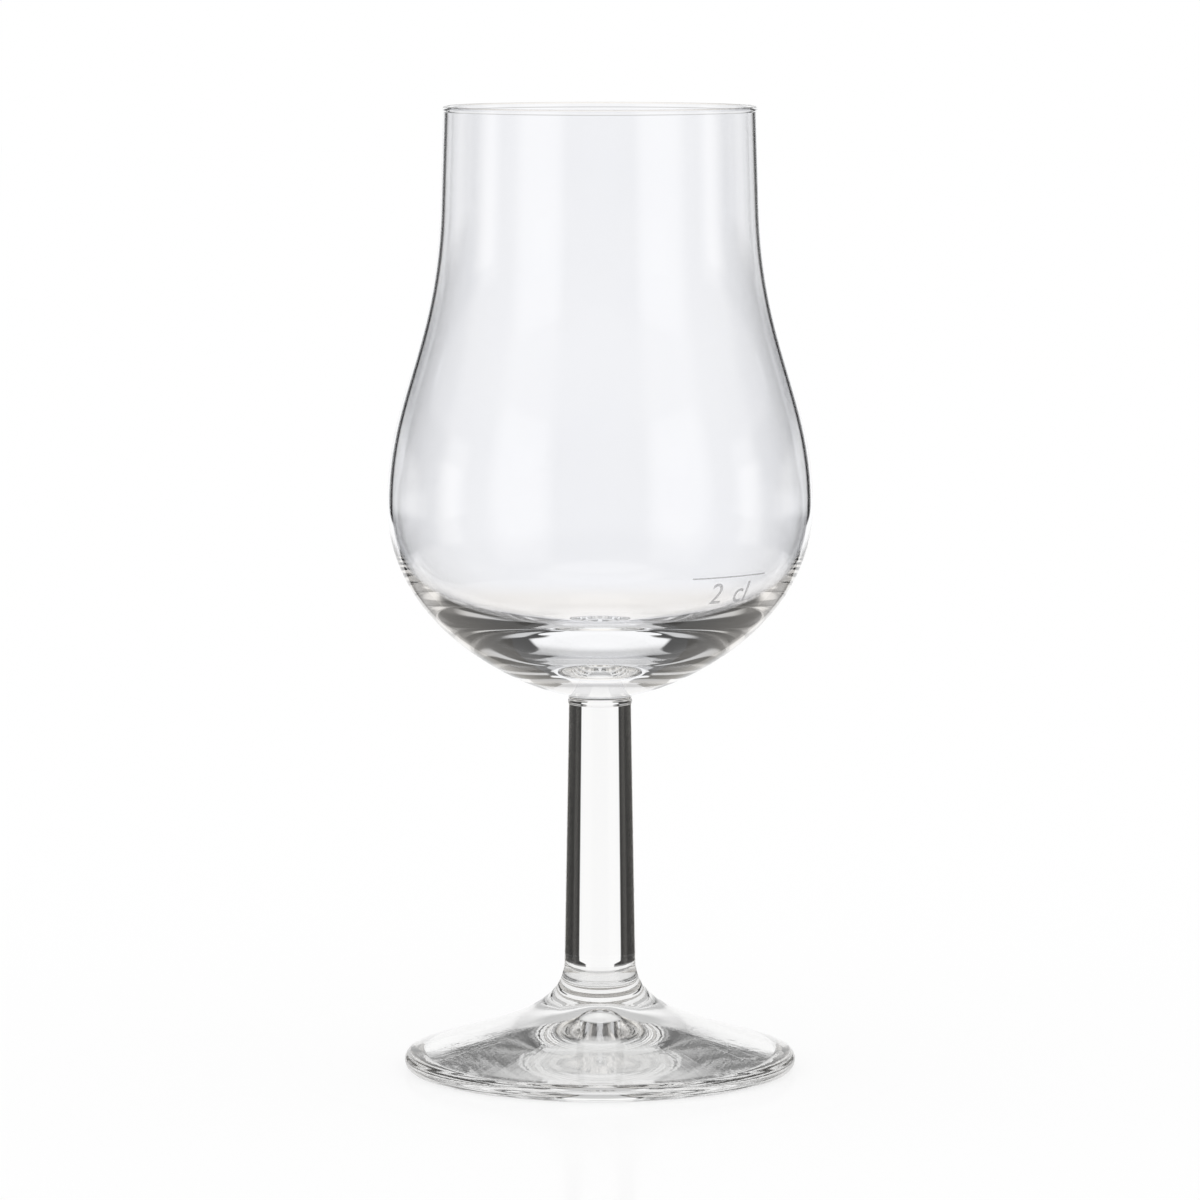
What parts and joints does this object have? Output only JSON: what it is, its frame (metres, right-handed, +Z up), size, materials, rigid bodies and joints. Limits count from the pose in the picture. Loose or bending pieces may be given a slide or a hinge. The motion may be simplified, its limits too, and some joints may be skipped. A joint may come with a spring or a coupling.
{
  "type": "nosing glass",
  "caption": "Stemmed tulip tasting glass with a narrowed mouth, thick-based bowl, solid tapered stem, wide round foot and an enamel fill line.",
  "frame": {"origin": "centre of the flat ring that the foot stands on", "axes": "+Z up along the axis of the stem and bowl, +X to the right and -Y towards the viewer of the picture"},
  "size_m": [0.0616, 0.0616, 0.14],
  "materials": {
    "bowl_glass": "clear blown glass, fire-polished lip",
    "stem_glass": "clear solid glass",
    "foot_glass": "clear pressed glass with faint chill marks",
    "enamel": "fired white enamel print, satin"
  },
  "bodies": {
    "root": {"bowl": "bowl_glass", "stem": "stem_glass", "foot": "foot_glass", "fill_line": "enamel"}
  },
  "joints": []
}
